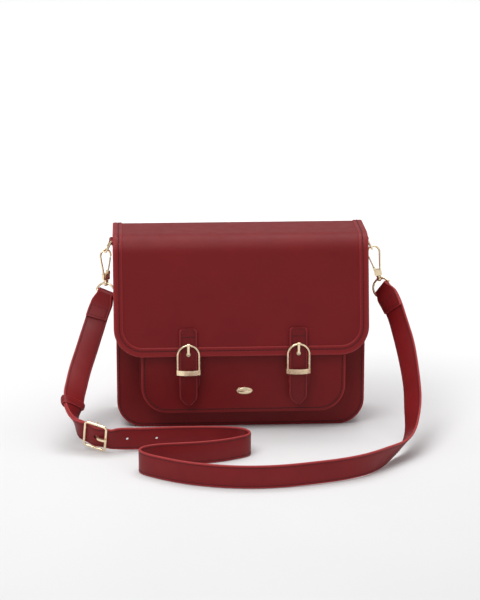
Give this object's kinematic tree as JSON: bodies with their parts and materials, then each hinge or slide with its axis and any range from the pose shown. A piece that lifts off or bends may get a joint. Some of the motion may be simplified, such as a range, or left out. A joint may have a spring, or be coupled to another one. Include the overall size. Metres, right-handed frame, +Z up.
{
  "type": "satchel bag",
  "caption": "Flap-front leather satchel with a front pocket, two buckled snap closures and a detachable shoulder strap on swivel hooks.",
  "frame": {"origin": "centre of the bag's flat base, on the surface it stands on", "axes": "+Z up, -Y towards the flap side (the front), +X towards the viewer's right as seen from the front"},
  "size_m": [0.3995, 0.2966, 0.221],
  "materials": {
    "body_leather": "smooth burgundy leather with a soft sheen",
    "binding_leather": "smooth burgundy leather edge binding",
    "strap_leather": "smooth burgundy leather, stitched along both edges",
    "lining_fabric": "plain woven lining",
    "stiffener_board": "matt board, hidden",
    "gold_metal": "polished pale gold plating"
  },
  "bodies": {
    "bag": {"front_panel": "body_leather", "back_panel": "body_leather", "front_stiffener": "stiffener_board", "back_stiffener": "stiffener_board", "gusset": "body_leather", "base_board": "stiffener_board", "lining": "lining_fabric", "slip_pocket": "lining_fabric", "pocket_front": "body_leather", "pocket_gusset": "body_leather", "emblem_plate": "gold_metal", "flap_back_leaf": "body_leather", "snap_tab_left": "body_leather", "snap_tab_right": "body_leather", "snap_socket_left": "gold_metal", "snap_socket_right": "gold_metal", "side_tab_left": "body_leather", "side_tab_right": "body_leather", "side_rivet_left": "gold_metal", "side_rivet_right": "gold_metal"},
    "flap_crown": {"flap_crown_panel": "body_leather", "flap_crown_binding_left": "binding_leather", "flap_crown_binding_right": "binding_leather"},
    "flap_front": {"flap_front_panel": "body_leather", "flap_binding": "binding_leather", "flap_lining": "lining_fabric", "closure_tab_left": "body_leather", "closure_tab_right": "body_leather"},
    "shoulder_strap": {"strap_short": "strap_leather", "strap_long": "strap_leather", "strap_keeper": "strap_leather", "strap_buckle_frame": "gold_metal", "strap_dring_left": "gold_metal", "strap_dring_right": "gold_metal", "swivel_left": "gold_metal", "swivel_right": "gold_metal"},
    "strap_buckle_prong": {"strap_prong": "gold_metal"},
    "closure_left": {"closure_strap_left": "body_leather", "eyelet_left": "gold_metal", "snap_stud_left": "gold_metal", "buckle_frame_left": "gold_metal"},
    "closure_prong_left": {"prong_left": "gold_metal"},
    "ring_left": {"side_ring_left": "gold_metal"},
    "hook_left": {"hook_frame_left": "gold_metal", "hook_rivet_left": "gold_metal"},
    "hook_gate_left": {"gate_left": "gold_metal"},
    "closure_right": {"closure_strap_right": "body_leather", "eyelet_right": "gold_metal", "snap_stud_right": "gold_metal", "buckle_frame_right": "gold_metal"},
    "closure_prong_right": {"prong_right": "gold_metal"},
    "ring_right": {"side_ring_right": "gold_metal"},
    "hook_right": {"hook_frame_right": "gold_metal", "hook_rivet_right": "gold_metal"},
    "hook_gate_right": {"gate_right": "gold_metal"}
  },
  "joints": [
    {"name": "flap_crown_fold", "type": "hinge", "parent": "bag", "child": "flap_crown", "pos_m": [0, 0.03989, 0.21749], "axis": [-1, 0, 0], "range_deg": [0, 110]},
    {"name": "flap_front_fold", "type": "hinge", "parent": "flap_crown", "child": "flap_front", "pos_m": [0, -0.03826, 0.21426], "axis": [-1, 0, 0], "range_deg": [0, 78]},
    {"name": "closure_fold_left", "type": "hinge", "parent": "flap_front", "child": "closure_left", "pos_m": [-0.06, -0.06593, 0.111], "axis": [-1, 0, 0], "range_deg": [0, 60]},
    {"name": "closure_prong_pivot_left", "type": "hinge", "parent": "closure_left", "child": "closure_prong_left", "pos_m": [-0.06, -0.0699, 0.10319], "axis": [-1, 0, 0], "range_deg": [0, 70]},
    {"name": "ring_swing_left", "type": "hinge", "parent": "bag", "child": "ring_left", "pos_m": [-0.1442, 0, 0.208], "axis": [0, 1, 0], "range_deg": [-5, 2]},
    {"name": "closure_fold_right", "type": "hinge", "parent": "flap_front", "child": "closure_right", "pos_m": [0.063, -0.06593, 0.111], "axis": [-1, 0, 0], "range_deg": [0, 60]},
    {"name": "closure_prong_pivot_right", "type": "hinge", "parent": "closure_right", "child": "closure_prong_right", "pos_m": [0.063, -0.0699, 0.10319], "axis": [-1, 0, 0], "range_deg": [0, 70]},
    {"name": "ring_swing_right", "type": "hinge", "parent": "bag", "child": "ring_right", "pos_m": [0.1442, 0, 0.208], "axis": [0, -1, 0], "range_deg": [-5, 2]},
    {"name": "strap_swing", "type": "hinge", "parent": "bag", "child": "shoulder_strap", "pos_m": [0, 0, 0.197], "axis": [-1, 0, 0], "range_deg": [0, 30]},
    {"name": "strap_prong_pivot", "type": "hinge", "parent": "shoulder_strap", "child": "strap_buckle_prong", "pos_m": [-0.16288, -0.12395, 0.01921], "axis": [-0.079, 0.2997, -0.9508], "range_deg": [0, 30]},
    {"name": "hook_swivel_left", "type": "hinge", "parent": "shoulder_strap", "child": "hook_left", "pos_m": [-0.151, 0, 0.167], "axis": [0, 0, 1], "range_deg": [-15, 15]},
    {"name": "gate_pivot_left", "type": "hinge", "parent": "hook_left", "child": "hook_gate_left", "pos_m": [-0.1483, 0.00189, 0.1713], "axis": [0.5736, -0.8192, 0], "range_deg": [0, 20], "stiffness_Nm_per_rad": 0.003, "springref_deg": -17.19},
    {"name": "hook_swivel_right", "type": "hinge", "parent": "shoulder_strap", "child": "hook_right", "pos_m": [0.1581, 0, 0.1678], "axis": [-0.2202, 0, 0.9754], "range_deg": [-15, 15]},
    {"name": "gate_pivot_right", "type": "hinge", "parent": "hook_right", "child": "hook_gate_right", "pos_m": [0.15393, 0, 0.17127], "axis": [0, 1, 0], "range_deg": [0, 20], "stiffness_Nm_per_rad": 0.003, "springref_deg": -17.19}
  ]
}
